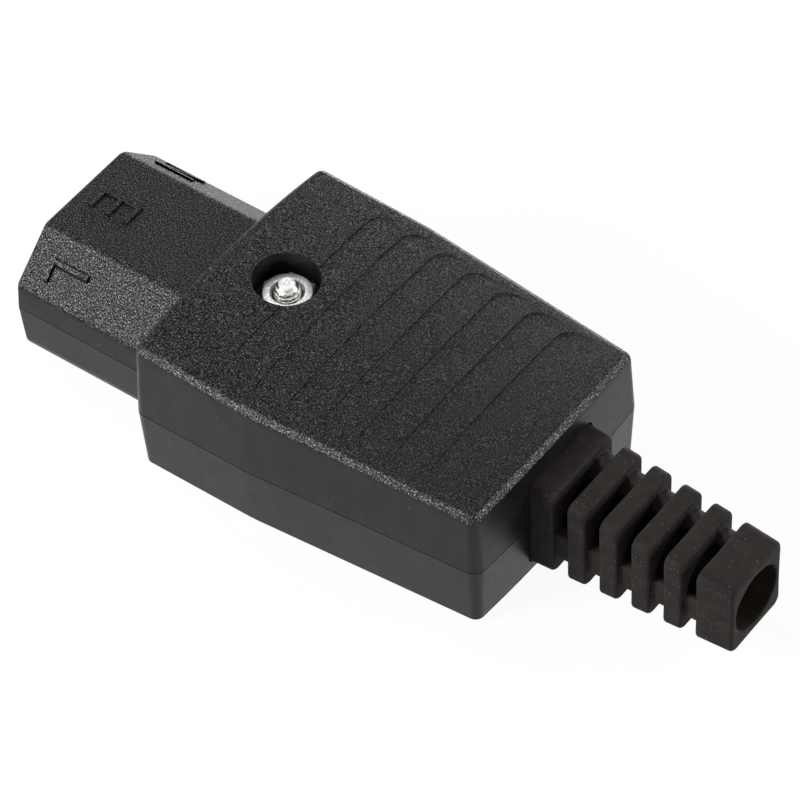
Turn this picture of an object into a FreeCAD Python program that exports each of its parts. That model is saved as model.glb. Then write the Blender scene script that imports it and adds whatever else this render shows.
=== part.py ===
"""Rewirable three-pole appliance connector that lies on its flat lower shell.

Two moulded half shells meet at one level all round the body and the nose. They hold three folded
spring sockets with screw terminals, a cable clamp and the flange of a slotted rubber cable boot,
and one screw from below with a nut on top keeps them shut. X runs from the nose to the cable end.
"""

import FreeCAD, Part
import math
import os

V = FreeCAD.Vector

# Nose that plugs in, millimetres; while modelling, x = 0 is the body's front corner plane
NOSE_LENGTH = 20.0
NOSE_WIDTH = 24.4
NOSE_DRAFT = 0.05
NOSE_TOP_FLAT = 13.2
NOSE_TOP_Z = 17.1
NOSE_CHAMFER_Z = 11.7
NOSE_BOTTOM_Z = 1.4
NOSE_LOWER_RADIUS = 2.5
NOSE_EASE = 0.35
NOSE_TOP_RADIUS = 1.2
NOSE_FRONT_WALL = 2.2

# Body outline in plan
BODY_LENGTH = 43.5
BODY_FRONT_WIDTH = 33.7
BODY_REAR_WIDTH = 29.3
BODY_PARALLEL = 15.2
END_BOW = 0.55
CORNER_RADIUS = 1.5
SIDE_BLEND_RADIUS = 25.0

# Body heights and edges
PARTING_Z = 8.4
TOP_FRONT_Z = 18.2
TOP_REAR_Z = 16.35
TOP_CROWN = 0.9
DRAFT = 0.055
RIM_FACET = 0.68
RIM_EASE = 0.18
BASE_EASE = 0.5
PARTING_STEP = 0.1
WALL = 2.0
REAR_WALL = 2.2

# Finger grip: saw-tooth steps moulded in the top
GRIP_COUNT = 7
GRIP_FIRST_X = 9.8
GRIP_PITCH = 4.27
GRIP_RAMP = 3.6
GRIP_DEPTH = 0.09
GRIP_MARGIN = 2.0
GRIP_CORNER_RADIUS = 2.0

# Closing screw, nut and their seats
CLOSING_X = 8.09
CLOSING_Y = 0.35
CLOSING_DIAMETER = 3.0
CLOSING_HOLE = 3.3
CLOSING_BORE = 7.5
CLOSING_HEAD_DIAMETER = 5.5
CLOSING_HEAD_HEIGHT = 2.0
CLOSING_HEAD_SEAT_Z = 3.2
CLOSING_HEAD_BORE = 6.4
SCREW_END_PROUD = 1.2
NUT_DEPTH = 2.0
NUT_THICKNESS = 2.4
NUT_SEATED = 1.3
NUT_FLATS = 5.5
NUT_POCKET_FLATS = 5.7
NUT_FACE_SHARE = 0.97
NUT_CHAMFER_ANGLE = math.radians(30)
BOSS_DIAMETER = 8.0
UPPER_BOSS_DIAMETER = 8.8

# Three poles: pin pitch, folded sockets and screw terminals
POLE_PITCH = 14.0
EARTH_OFFSET = 4.0
SHEET = 0.5
SOCKET_WIDTH = 3.4
SOCKET_HEIGHT = 5.2
SOCKET_FRONT_GAP = 0.2
SOCKET_REAR_X = -6.0
SOCKET_SEAM = 0.6
SOCKET_ROOM = 0.5
SOCKET_HEADROOM = 0.1
EARTH_HEADROOM = 0.5
TAIL_HEADROOM = 1.2
EARTH_ROOM_HALF_WIDTH = 6.0
TAIL_BEND = 2.0
TAIL_BEND_END_X = 1.0
PIN_SLOT_WIDTH = 2.5
PIN_SLOT_HEIGHT = 4.5
TAIL_WIDTH = 3.0
TERMINAL_SHIFT = 1.0
TERMINAL_X = 3.4
EARTH_TERMINAL_X = 13.8
EARTH_TERMINAL_Y = 4.1
TERMINAL_LENGTH = 6.4
TERMINAL_WIDTH = 6.0
TERMINAL_EASE = 0.4
TERMINAL_TOP_Z = 10.0
WIRE_BORE = 3.2
TERMINAL_SCREW_DIAMETER = 3.0
TERMINAL_SCREW_LENGTH = 3.9
TERMINAL_HEAD_DIAMETER = 5.0
TERMINAL_HEAD_HEIGHT = 1.8
SLOT_WIDTH_SHARE = 0.2
EARTH_STRAP_Y = 4.9
EARTH_STRAP_Z0 = 10.2
EARTH_STRAP_Z1 = 12.6
EARTH_LEG_X = 10.2
EARTH_LEG_GAP = 0.6
EARTH_FOOT = 1.2
WIRE_BORE_DROP = 0.2

# Cable clamp across the rear of the body
CLAMP_X = 31.0
CLAMP_WIDTH = 6.0
CLAMP_HALF_SPAN = 12.2
CLAMP_SCREW_Y = 9.2
CLAMP_BASE_Z = 7.0
CLAMP_LUG = 2.6
CLAMP_ARCH_RADIUS = 3.6
CLAMP_ARCH_WALL = 2.4
CLAMP_SCREW_DIAMETER = 2.9
CLAMP_SCREW_LENGTH = 6.6
CLAMP_HEAD_DIAMETER = 5.4
CLAMP_HEAD_HEIGHT = 1.9
CLAMP_CORNER = 1.2
CLAMP_BOSS_DIAMETER = 6.0
SADDLE_THICKNESS = 1.2
SADDLE_SPACING = 3.2
SADDLE_TOP_Z = 5.6
SADDLE_HALF_WIDTH = 6.0

# Rubber cable boot: tapered hull with ring grooves, corner slots and a cable bore
BOOT_REACH = 24.6
BOOT_BASE_HALF_WIDTH = 5.65
BOOT_END_HALF_WIDTH = 4.5
BOOT_BASE_Z = (1.8, 14.0)
BOOT_END_Z = (2.7, 12.5)
BOOT_CORNER_RADIUS = 1.0
BOOT_EASE = 0.2
BOOT_COLLAR = 3.0
BOOT_GAP = 1.7
BOOT_PITCH = 3.87
BOOT_GAP_COUNT = 5
BOOT_WEB_DEPTH = 0.7
BOOT_WEB_CUT = 1.4
BOOT_BORE_RADIUS = 3.5
BOOT_BORE_Z = 7.55
SLOT_TOP_SHARE = 0.38
SLOT_SIDE_SHARE = 0.05
FLANGE_LENGTH = 2.4
FLANGE_HALF_WIDTH = 7.6
FLANGE_TOP_Z = 14.7
OPENING_GAP = 0.2
HOLDING_RIB = 1.4
HOLDING_GAP = 0.1
HOLDING_CLEARANCE = 1.0

# Values worked out from the driving dimensions
TOTAL_LENGTH = NOSE_LENGTH + BODY_LENGTH + BOOT_REACH
FRAME_SHIFT = V(NOSE_LENGTH - TOTAL_LENGTH / 2, 0, 0)
FRONT_HALF = BODY_FRONT_WIDTH / 2
REAR_HALF = BODY_REAR_WIDTH / 2
CAVITY_REAR_X = BODY_LENGTH - REAR_WALL
CROWN_RADIUS = (FRONT_HALF ** 2 + TOP_CROWN ** 2) / (2 * TOP_CROWN)
REAR_CROWN = CROWN_RADIUS - math.sqrt(CROWN_RADIUS ** 2 - REAR_HALF ** 2)
TOP_SLOPE = (TOP_REAR_Z + REAR_CROWN - TOP_FRONT_Z - TOP_CROWN) / BODY_LENGTH
EARTH_Z = PARTING_Z + SOCKET_HEIGHT / 2
POLE_Z = EARTH_Z - EARTH_OFFSET
TAIL_Z = POLE_Z - SOCKET_HEIGHT / 2
SOCKET_FRONT_X = -NOSE_LENGTH + NOSE_FRONT_WALL + SOCKET_FRONT_GAP
TERMINAL_Y = POLE_PITCH / 2 + TERMINAL_SHIFT
BEYOND = 30.0
OVERRUN = 1.0
TINY = 1e-3
LONG_EDGE = 1.0
CROWN_STOCK = 4.0


def block(x0, x1, y0, y1, z0, z1):
    """Box between two corners."""
    return Part.makeBox(x1 - x0, y1 - y0, z1 - z0, V(x0, y0, z0))


def rod(x, y, z0, z1, diameter):
    """Upright cylinder."""
    return Part.makeCylinder(diameter / 2, z1 - z0, V(x, y, z0))


def prism(points, direction):
    """Closed polygon of points, extruded along a vector."""
    corners = [V(*point) for point in points]
    return Part.Face(Part.makePolygon(corners + corners[:1])).extrude(direction)


def hexagon(x, y, z0, z1, flats):
    """Upright hexagonal prism with two flats square to Y."""
    reach = flats / math.sqrt(3)
    turns = [math.radians(60 * k) for k in range(6)]
    return prism([(x + reach * math.cos(t), y + reach * math.sin(t), z0) for t in turns], V(0, 0, z1 - z0))


def plan_arcs():
    """Arcs of the body outline as (centre x, centre y, radius, first angle, last angle), clockwise.

    Every arc is tangent to its neighbours, so an inward offset only shortens the radii.
    """
    bow_front = (FRONT_HALF ** 2 + END_BOW ** 2) / (2 * END_BOW)
    bow_rear = (REAR_HALF ** 2 + END_BOW ** 2) / (2 * END_BOW)
    front_x = bow_front - END_BOW
    rear_x = BODY_LENGTH + END_BOW - bow_rear
    taper = math.atan((FRONT_HALF - REAR_HALF) / (BODY_LENGTH - BODY_PARALLEL))
    normal = math.pi / 2 - taper
    corner_y = FRONT_HALF - CORNER_RADIUS
    corner_x = front_x - math.sqrt((bow_front - CORNER_RADIUS) ** 2 - corner_y ** 2)
    front_turn = math.atan2(corner_y, corner_x - front_x)
    blend_x = BODY_PARALLEL - SIDE_BLEND_RADIUS * math.tan(taper / 2)
    blend_y = FRONT_HALF - SIDE_BLEND_RADIUS

    # The rear corner's centre slides along the tapered side until it also touches the rear bow
    start = V(BODY_LENGTH - CORNER_RADIUS * math.sin(taper), REAR_HALF - CORNER_RADIUS * math.cos(taper), 0)
    along = V(math.cos(taper), -math.sin(taper), 0)
    offset = start - V(rear_x, 0, 0)
    half_b = offset.dot(along)
    slide = -half_b + math.sqrt(half_b ** 2 - offset.dot(offset) + (bow_rear - CORNER_RADIUS) ** 2)
    rear_corner = start + along * slide
    rear_turn = math.atan2(rear_corner.y, rear_corner.x - rear_x)

    side = [
        (corner_x, corner_y, CORNER_RADIUS, front_turn, math.pi / 2),
        (blend_x, blend_y, SIDE_BLEND_RADIUS, math.pi / 2, normal),
        (rear_corner.x, rear_corner.y, CORNER_RADIUS, normal, rear_turn),
    ]
    mirrored = [(x, -y, r, -last, -first) for x, y, r, first, last in reversed(side)]
    front = [(front_x, 0, bow_front, 2 * math.pi - front_turn, front_turn)]
    rear = [(rear_x, 0, bow_rear, rear_turn, -rear_turn)]
    return front + side + rear + mirrored


def body_outline(inset, z):
    """Closed wire of the body outline, moved inwards by inset, at height z."""
    arcs = []
    for x, y, radius, first, last in plan_arcs():
        angles = (first, (first + last) / 2, last)
        r = radius - inset
        arcs.append([V(x + r * math.cos(a), y + r * math.sin(a), z) for a in angles])
    edges = []
    for arc, following in zip(arcs, arcs[1:] + arcs[:1]):
        edges.append(Part.Arc(*arc).toShape())
        if arc[2].distanceToPoint(following[0]) > TINY:
            edges.append(Part.makeLine(arc[2], following[0]))
    return Part.Wire(edges)


def drafted_body(z_far):
    """Body block from the parting level to z_far, drafted inwards on the way."""
    inset = DRAFT * abs(z_far - PARTING_Z)
    return Part.makeLoft([body_outline(0, PARTING_Z), body_outline(inset, z_far)], True, True)


def crowned_bar(crest_x, crest_z, slope, drop=0.0):
    """Long round bar under the body's top: its crest line passes the given point with the slope.

    The bar is as wide as the crown is round, so its upper side is the crowned top; drop lowers it.
    Its seam is turned to the underside.
    """
    along = V(1, 0, slope).normalize()
    up = V(-along.z, 0, along.x)
    base = V(crest_x, 0, crest_z) - along * BEYOND * 2 - up * CROWN_RADIUS
    bar = Part.makeCylinder(CROWN_RADIUS - drop, BEYOND * 5, base, along)
    bar.rotate(base, along, 180)
    return bar


def crest_z(x):
    """Height of the top's middle line at x."""
    return TOP_FRONT_Z + TOP_CROWN + TOP_SLOPE * x


def top_half_width(x):
    """Half width of the top edge at x."""
    share = max(0.0, x - BODY_PARALLEL) / (BODY_LENGTH - BODY_PARALLEL)
    return FRONT_HALF + (REAR_HALF - FRONT_HALF) * share - DRAFT * (crest_z(x) - PARTING_Z)


def nose_half(side):
    """One half of the nose, drafted away from the parting level and running into the body.

    side lists (half width, z) from the parting level outwards.
    """
    x = -NOSE_LENGTH
    far_z = side[-1][1]
    section = [(x, y, z) for y, z in side] + [(x, -y, z) for y, z in reversed(side)]
    profile = [(x, PARTING_Z), (x + drawn_in(far_z), far_z), (WALL, far_z), (WALL, PARTING_Z)]
    sideways = prism([(x2, -BEYOND, z) for x2, z in profile], V(0, 2 * BEYOND, 0))
    return prism(section, V(NOSE_LENGTH + WALL, 0, 0)).common(sideways)


def drawn_in(z):
    """How far the nose's walls lean in at height z."""
    return NOSE_DRAFT * abs(z - PARTING_Z)


def free_edges(bar):
    """Edges away from the parting level."""
    return [e for e in bar.Edges if abs(e.CenterOfMass.z - PARTING_Z) > TINY]


def long_edges(bar):
    """Free edges along the nose."""
    return [e for e in free_edges(bar) if e.BoundBox.XLength > NOSE_LENGTH - OVERRUN]


def front_edges(bar):
    """Free edges round the nose's front face."""
    return [e for e in free_edges(bar) if e.BoundBox.XMax < OVERRUN - NOSE_LENGTH]


def upper_nose():
    """Upper half of the nose with its two wide chamfers, which run into the top in a round."""
    half = NOSE_WIDTH / 2
    shoulder = (half - drawn_in(NOSE_CHAMFER_Z), NOSE_CHAMFER_Z)
    bar = nose_half([(half, PARTING_Z), shoulder, (NOSE_TOP_FLAT / 2, NOSE_TOP_Z)])
    bar = bar.makeFillet(NOSE_TOP_RADIUS, [e for e in long_edges(bar) if e.BoundBox.ZMin > NOSE_TOP_Z - TINY])
    shoulders = [e for e in long_edges(bar) if e.BoundBox.ZMax < NOSE_CHAMFER_Z + TINY]
    return bar.makeChamfer(NOSE_EASE, shoulders + front_edges(bar))


def lower_nose():
    """Lower half of the nose with its round lower corners."""
    half = NOSE_WIDTH / 2
    bar = nose_half([(half, PARTING_Z), (half - drawn_in(NOSE_BOTTOM_Z), NOSE_BOTTOM_Z)])
    bar = bar.makeFillet(NOSE_LOWER_RADIUS, long_edges(bar))
    return bar.makeChamfer(NOSE_EASE, front_edges(bar))


def cavity(z0, z1):
    """Hollow of the body between two levels, following its tapered plan."""
    front = FRONT_HALF - WALL
    rear = REAR_HALF - WALL
    plan = [(WALL, -front), (BODY_PARALLEL, -front), (CAVITY_REAR_X, -rear)]
    plan += [(x, -y) for x, y in reversed(plan)]
    hollow = prism([(x, y, z0) for x, y in plan], V(0, 0, z1 - z0))
    corners = [e for e in hollow.Edges if e.BoundBox.ZLength > LONG_EDGE and e.BoundBox.XMax < WALL + TINY]
    return hollow.makeFillet(CORNER_RADIUS, corners)


def pole_rooms():
    """Channels and pin slots in the nose, and the room behind them, cut from both shells."""
    half = SOCKET_WIDTH / 2 + SOCKET_ROOM
    front = SOCKET_FRONT_X - SOCKET_FRONT_GAP
    rear = SOCKET_REAR_X + OVERRUN
    inside = WALL + OVERRUN
    tall = SOCKET_HEIGHT / 2
    rooms = []
    for y, z in pole_places():
        rooms.append(block(front, rear, y - half, y + half, z - tall, z + tall + SOCKET_HEADROOM))
        w, h = PIN_SLOT_WIDTH / 2, PIN_SLOT_HEIGHT / 2
        rooms.append(block(-BEYOND, front + OVERRUN, y - w, y + w, z - h, z + h))
    side = TERMINAL_Y + TAIL_WIDTH / 2 + SOCKET_FRONT_GAP
    rooms.append(block(SOCKET_REAR_X, inside, -side, side, TAIL_Z, POLE_Z + tall + TAIL_HEADROOM))
    side = EARTH_ROOM_HALF_WIDTH
    rooms.append(block(SOCKET_REAR_X, inside, -side, side, TAIL_Z, EARTH_Z + tall + EARTH_HEADROOM))
    return rooms


def pole_places():
    """Middle (y, z) of the live, neutral and earth sockets."""
    side = POLE_PITCH / 2
    return [(-side, POLE_Z), (side, POLE_Z), (0, EARTH_Z)]


def boot_size(x):
    """Half width, low and high level of the tapered boot at x."""
    share = (x - BODY_LENGTH) / BOOT_REACH
    half = BOOT_BASE_HALF_WIDTH + (BOOT_END_HALF_WIDTH - BOOT_BASE_HALF_WIDTH) * share
    low, high = (a + (b - a) * share for a, b in zip(BOOT_BASE_Z, BOOT_END_Z))
    return half, low, high


def boot_hull(x0, x1):
    """Tapered boot with round long edges and no grooves, between two stations."""
    wires = [rounded_wire(x, *boot_size(x), BOOT_CORNER_RADIUS) for x in (x0, x1)]
    return Part.makeLoft(wires, True, True)


def boot_core(x0, x1):
    """Eight-sided web that joins the boot's ribs, between two stations."""
    wires = []
    for x in (x0, x1):
        half, low, high = boot_size(x)
        half, low, high = half - BOOT_WEB_DEPTH, low + BOOT_WEB_DEPTH, high - BOOT_WEB_DEPTH
        cut = BOOT_WEB_CUT
        right = [(half - cut, low), (half, low + cut), (half, high - cut), (half - cut, high)]
        ring = right + [(-y, z) for y, z in reversed(right)]
        wires.append(Part.makePolygon([V(x, y, z) for y, z in ring + ring[:1]]))
    return Part.makeLoft(wires, True, True)


def rounded_wire(x, half, z0, z1, radius):
    """Rounded rectangle in the plane of x, from -half to half and z0 to z1."""
    face = Part.Face(Part.makePolygon([
        V(x, -half, z0), V(x, half, z0), V(x, half, z1), V(x, -half, z1), V(x, -half, z0)]))
    bar = face.extrude(V(LONG_EDGE, 0, 0))
    bar = bar.makeFillet(radius, [e for e in bar.Edges if e.BoundBox.XLength > LONG_EDGE / 2])
    return next(f for f in bar.Faces if f.BoundBox.XMax < x + TINY).OuterWire


def boot_opening():
    """Opening in the rear wall that the boot's collar passes through."""
    low, high = BOOT_BASE_Z
    half = BOOT_BASE_HALF_WIDTH + OPENING_GAP
    radius = BOOT_CORNER_RADIUS + OPENING_GAP
    wire = rounded_wire(CAVITY_REAR_X - OVERRUN, half, low - OPENING_GAP, high + OPENING_GAP, radius)
    return Part.Face(wire).extrude(V(BEYOND, 0, 0))


def holding_ribs(z0, z1):
    """Pair of ribs beside the cable that keep the boot's flange against the rear wall."""
    x1 = CAVITY_REAR_X - FLANGE_LENGTH - HOLDING_GAP
    x0 = x1 - HOLDING_RIB
    inner = BOOT_BORE_RADIUS + HOLDING_CLEARANCE
    outer = REAR_HALF - WALL / 2
    return [block(x0, x1, -outer, -inner, z0, z1), block(x0, x1, inner, outer, z0, z1)]


def grip_tools():
    """Wedges above each ramp of the finger grip: a wall at the front, fading out to the rear."""
    tools = []
    for k in range(GRIP_COUNT):
        x = GRIP_FIRST_X + GRIP_PITCH * k
        half = top_half_width(x) - GRIP_MARGIN
        pocket = block(x, x + GRIP_PITCH, -half, half, PARTING_Z, BEYOND)
        corners = [e for e in pocket.Edges if e.BoundBox.ZLength > LONG_EDGE and e.BoundBox.XMax < x + TINY]
        pocket = pocket.makeFillet(GRIP_CORNER_RADIUS, corners)
        slope = TOP_SLOPE + GRIP_DEPTH / GRIP_RAMP
        tools.append(pocket.cut(crowned_bar(x, crest_z(x) - GRIP_DEPTH, slope)))
    return tools


def crown_edges(shell):
    """Edges round the crowned top face."""
    return max(shell.Faces, key=lambda f: f.CenterOfMass.z).OuterWire.Edges


def eased_rim(shell):
    """Take the sharp rim off the crowned top with three narrow facets that follow a round."""
    shell = shell.makeChamfer(RIM_FACET, crown_edges(shell))
    shell = shell.makeChamfer(RIM_EASE, crown_edges(shell))
    walls = [f for f in shell.Faces if f.BoundBox.ZMin < PARTING_Z + TINY and f.BoundBox.ZLength > LONG_EDGE]
    rim = [e for f in walls for e in f.Edges if e.BoundBox.ZMin > PARTING_Z + LONG_EDGE]
    return shell.makeChamfer(RIM_EASE, rim)


def upper_shell():
    """Upper half: crowned top with the grip, upper nose, nut pocket and boss."""
    top = crowned_bar(0, crest_z(0), TOP_SLOPE)
    shell = drafted_body(TOP_FRONT_Z + CROWN_STOCK).common(top)
    shell = eased_rim(shell).cut(grip_tools())
    shell = shell.fuse(upper_nose())
    shell = shell.cut(parting_groove())

    hollow = cavity(PARTING_Z - OVERRUN, BEYOND).common(crowned_bar(0, crest_z(0), TOP_SLOPE, WALL))
    boss = rod(CLOSING_X, CLOSING_Y, PARTING_Z, crest_z(CLOSING_X) - WALL / 2, UPPER_BOSS_DIAMETER)
    ribs = [rib.common(hollow) for rib in holding_ribs(PARTING_Z, BEYOND)]
    shell = shell.cut([hollow] + pole_rooms())
    shell = shell.fuse([boss] + ribs)

    nut_low = crest_z(CLOSING_X) - NUT_DEPTH - NUT_THICKNESS
    bore_low = nut_low + NUT_SEATED
    shell = shell.cut([
        rod(CLOSING_X, CLOSING_Y, PARTING_Z - OVERRUN, bore_low, CLOSING_HOLE),
        hexagon(CLOSING_X, CLOSING_Y, nut_low, bore_low, NUT_POCKET_FLATS),
        rod(CLOSING_X, CLOSING_Y, bore_low, BEYOND, CLOSING_BORE),
        boot_opening(),
    ])
    return shell.removeSplitter()


def lower_shell():
    """Lower half: flat base, lower nose, screw boss, clamp bosses, saddles and holding ribs."""
    shell = drafted_body(0)
    base = min(shell.Faces, key=lambda f: f.CenterOfMass.z)
    shell = shell.makeChamfer(BASE_EASE, base.OuterWire.Edges)
    shell = shell.fuse(lower_nose())
    shell = shell.cut([cavity(WALL, PARTING_Z + OVERRUN)] + pole_rooms())

    adds = [rod(CLOSING_X, CLOSING_Y, WALL / 2, PARTING_Z, BOSS_DIAMETER)]
    adds += [rod(CLAMP_X, s * CLAMP_SCREW_Y, WALL / 2, CLAMP_BASE_Z, CLAMP_BOSS_DIAMETER) for s in (-1, 1)]
    adds += holding_ribs(WALL / 2, PARTING_Z)
    groove = Part.makeCylinder(CLAMP_ARCH_RADIUS, BEYOND, V(CLAMP_X - BEYOND / 2, 0, BOOT_BORE_Z), V(1, 0, 0))
    for s in (-1, 1):
        middle = CLAMP_X + s * SADDLE_SPACING / 2
        half = SADDLE_THICKNESS / 2
        side = SADDLE_HALF_WIDTH
        adds.append(block(middle - half, middle + half, -side, side, WALL / 2, SADDLE_TOP_Z).cut(groove))
    shell = shell.fuse(adds)

    pilot_z = CLAMP_BASE_Z + CLAMP_LUG - CLAMP_SCREW_LENGTH
    cuts = [
        rod(CLOSING_X, CLOSING_Y, -OVERRUN, PARTING_Z + OVERRUN, CLOSING_HOLE),
        rod(CLOSING_X, CLOSING_Y, -OVERRUN, CLOSING_HEAD_SEAT_Z, CLOSING_HEAD_BORE),
        boot_opening(),
    ]
    cuts += [rod(CLAMP_X, s * CLAMP_SCREW_Y, pilot_z, BEYOND, CLAMP_SCREW_DIAMETER) for s in (-1, 1)]
    return shell.cut(cuts).removeSplitter()


def parting_groove():
    """Shallow rebate along the foot of the upper half, which shows as the parting line."""
    z1 = PARTING_Z + PARTING_STEP
    flat = V(0, 0, PARTING_STEP)
    body = Part.Face(body_outline(-OVERRUN, PARTING_Z)).extrude(flat)
    body = body.cut(Part.Face(body_outline(PARTING_STEP, PARTING_Z)).extrude(flat))
    half = NOSE_WIDTH / 2
    reach = -NOSE_LENGTH
    inner = half - PARTING_STEP
    plug = block(reach - OVERRUN, -END_BOW, -half - OVERRUN, half + OVERRUN, PARTING_Z, z1)
    plug = plug.cut(block(reach + PARTING_STEP, 0, -inner, inner, PARTING_Z, z1))
    root = block(-WALL, WALL, -inner, inner, PARTING_Z, z1)
    return [body.cut(root), plug]


def spring_socket(y, z):
    """Folded sheet tube that grips a flat pin, with an open seam along its top."""
    w, h = SOCKET_WIDTH / 2, SOCKET_HEIGHT / 2
    tube = block(SOCKET_FRONT_X, SOCKET_REAR_X, y - w, y + w, z - h, z + h)
    inside = block(-BEYOND, BEYOND, y - w + SHEET, y + w - SHEET, z - h + SHEET, z + h - SHEET)
    seam = block(-BEYOND, BEYOND, y - SOCKET_SEAM / 2, y + SOCKET_SEAM / 2, z, z + SOCKET_HEIGHT)
    folds = [e for e in tube.Edges if e.BoundBox.XLength > LONG_EDGE]
    return tube.makeFillet(SHEET, folds).cut([inside, seam])


def side_contact(side):
    """Live or neutral contact: spring socket with a flat tail stepped outwards to its terminal."""
    y = side * POLE_PITCH / 2
    end = TERMINAL_X + TERMINAL_LENGTH
    half = TAIL_WIDTH / 2
    near = y - half
    far = side * TERMINAL_Y - half
    left = [(SOCKET_REAR_X - OVERRUN, near), (SOCKET_REAR_X + TAIL_BEND, near)]
    left += [(TAIL_BEND_END_X, far), (end, far)]
    right = [(x, y2 + TAIL_WIDTH) for x, y2 in reversed(left)]
    tail = prism([(x, y2, TAIL_Z) for x, y2 in left + right], V(0, 0, SHEET))
    return spring_socket(y, POLE_Z).fuse(tail).removeSplitter()


def earth_contact():
    """Earth contact: spring socket, a strap on edge round the screw boss, and a foot for its terminal."""
    socket = spring_socket(0, EARTH_Z)
    y0 = SOCKET_WIDTH / 2 - SHEET
    y1 = EARTH_STRAP_Y
    end = EARTH_TERMINAL_X - EARTH_LEG_GAP
    strap = [(SOCKET_REAR_X - OVERRUN, y0), (SOCKET_REAR_X + TAIL_BEND, y0)]
    strap += [(TAIL_BEND_END_X, y1), (EARTH_LEG_X, y1)]
    strap += [(x, y + SHEET) for x, y in reversed(strap)]
    strap = prism([(x, y, EARTH_STRAP_Z0) for x, y in strap], V(0, 0, EARTH_STRAP_Z1 - EARTH_STRAP_Z0))
    leg = block(EARTH_LEG_X, end, y1, y1 + SHEET, TAIL_Z, EARTH_STRAP_Z1)
    left = EARTH_TERMINAL_Y - TAIL_WIDTH / 2
    tongue_end = EARTH_TERMINAL_X + TERMINAL_LENGTH
    foot = block(end - EARTH_FOOT, end, left, y1 + SHEET, TAIL_Z, TAIL_Z + SHEET)
    tongue = block(end - EARTH_FOOT, tongue_end, left, left + TAIL_WIDTH, TAIL_Z, TAIL_Z + SHEET)
    return socket.fuse([strap, leg, foot, tongue]).removeSplitter()


def terminal(x, y):
    """Square brass block with a slot for the contact's tail, a wire bore and a tapped hole."""
    half = TERMINAL_WIDTH / 2
    body = block(x, x + TERMINAL_LENGTH, y - half, y + half, WALL, TERMINAL_TOP_Z)
    body = body.makeChamfer(TERMINAL_EASE, [e for e in body.Edges if e.BoundBox.ZLength > LONG_EDGE])
    end = x + TERMINAL_LENGTH
    tail = block(x, end, y - TAIL_WIDTH / 2, y + TAIL_WIDTH / 2, TAIL_Z, TAIL_Z + SHEET)
    axis_z = TAIL_Z + SHEET + WIRE_BORE / 2 - WIRE_BORE_DROP
    wire = Part.makeCylinder(WIRE_BORE / 2, TERMINAL_LENGTH, V(x, y, axis_z), V(1, 0, 0))
    tapped = rod((x + end) / 2, y, axis_z, TERMINAL_TOP_Z, TERMINAL_SCREW_DIAMETER)
    return body.cut([tail, wire, tapped])


def screw(x, y, head_z, length, diameter, head_diameter, head_height):
    """Screw pointing down from its head's seat, with a cheese head and a straight drive slot."""
    shank = rod(x, y, head_z - length, head_z, diameter)
    head = rod(x, y, head_z, head_z + head_height, head_diameter)
    half = head_diameter * SLOT_WIDTH_SHARE / 2
    top = head_z + head_height
    slot = block(x - head_diameter, x + head_diameter, y - half, y + half, top - head_height / 2, top)
    return head.cut(slot).fuse(shank).removeSplitter()


def closing_screw():
    """Screw from below: head in its bore under the base, end proud of the nut."""
    end_z = crest_z(CLOSING_X) - NUT_DEPTH + SCREW_END_PROUD
    length = end_z - CLOSING_HEAD_SEAT_Z
    axis = V(CLOSING_X, CLOSING_Y, 0)
    head = (CLOSING_HEAD_DIAMETER, CLOSING_HEAD_HEIGHT)
    upside_down = screw(axis.x, axis.y, 0, length, CLOSING_DIAMETER, *head)
    upside_down.rotate(axis, V(1, 0, 0), 180)
    upside_down.translate(V(0, 0, CLOSING_HEAD_SEAT_Z))
    return upside_down


def closing_nut():
    """Hexagon nut with its upper face chamfered round, half sunk in the upper shell's pocket."""
    top = crest_z(CLOSING_X) - NUT_DEPTH
    low = top - NUT_THICKNESS
    nut = hexagon(CLOSING_X, CLOSING_Y, low, top, NUT_FLATS)
    corner = NUT_FLATS / math.sqrt(3)
    face = NUT_FLATS / 2 * NUT_FACE_SHARE
    rise = (corner - face) * math.tan(NUT_CHAMFER_ANGLE)
    profile = [V(0, 0, low), V(corner, 0, low), V(corner, 0, top - rise), V(face, 0, top), V(0, 0, top)]
    turned = Part.Face(Part.makePolygon(profile + profile[:1])).revolve(V(0, 0, 0), V(0, 0, 1), 360)
    turned.translate(V(CLOSING_X, CLOSING_Y, 0))
    return nut.common(turned).cut(rod(CLOSING_X, CLOSING_Y, low, top, CLOSING_DIAMETER))


def cable_clamp():
    """Moulded strap: two flat lugs and an arch that presses the cable on the saddles."""
    x = CLAMP_X - CLAMP_WIDTH / 2
    inner = CLAMP_ARCH_RADIUS
    outer = inner + CLAMP_ARCH_WALL
    lug_top = CLAMP_BASE_Z + CLAMP_LUG
    shoulder = math.sqrt(outer ** 2 - CLAMP_LUG ** 2)
    span = CLAMP_HALF_SPAN

    def point(y, z):
        return V(x, y, z)

    base = CLAMP_BASE_Z
    edges = [
        Part.makeLine(point(inner, base), point(span, base)),
        Part.makeLine(point(span, base), point(span, lug_top)),
        Part.makeLine(point(span, lug_top), point(shoulder, lug_top)),
        Part.Arc(point(shoulder, lug_top), point(0, base + outer), point(-shoulder, lug_top)).toShape(),
        Part.makeLine(point(-shoulder, lug_top), point(-span, lug_top)),
        Part.makeLine(point(-span, lug_top), point(-span, base)),
        Part.makeLine(point(-span, base), point(-inner, base)),
        Part.Arc(point(-inner, base), point(0, base + inner), point(inner, base)).toShape(),
    ]
    strap = Part.Face(Part.Wire(edges)).extrude(V(CLAMP_WIDTH, 0, 0))
    upright = [e for e in strap.Edges if abs(e.BoundBox.ZLength - CLAMP_LUG) < TINY]
    strap = strap.makeChamfer(CLAMP_CORNER, [e for e in upright if abs(e.CenterOfMass.y) > span - TINY])
    return strap.cut([rod(CLAMP_X, s * CLAMP_SCREW_Y, 0, BEYOND, CLAMP_SCREW_DIAMETER) for s in (-1, 1)])


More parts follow.
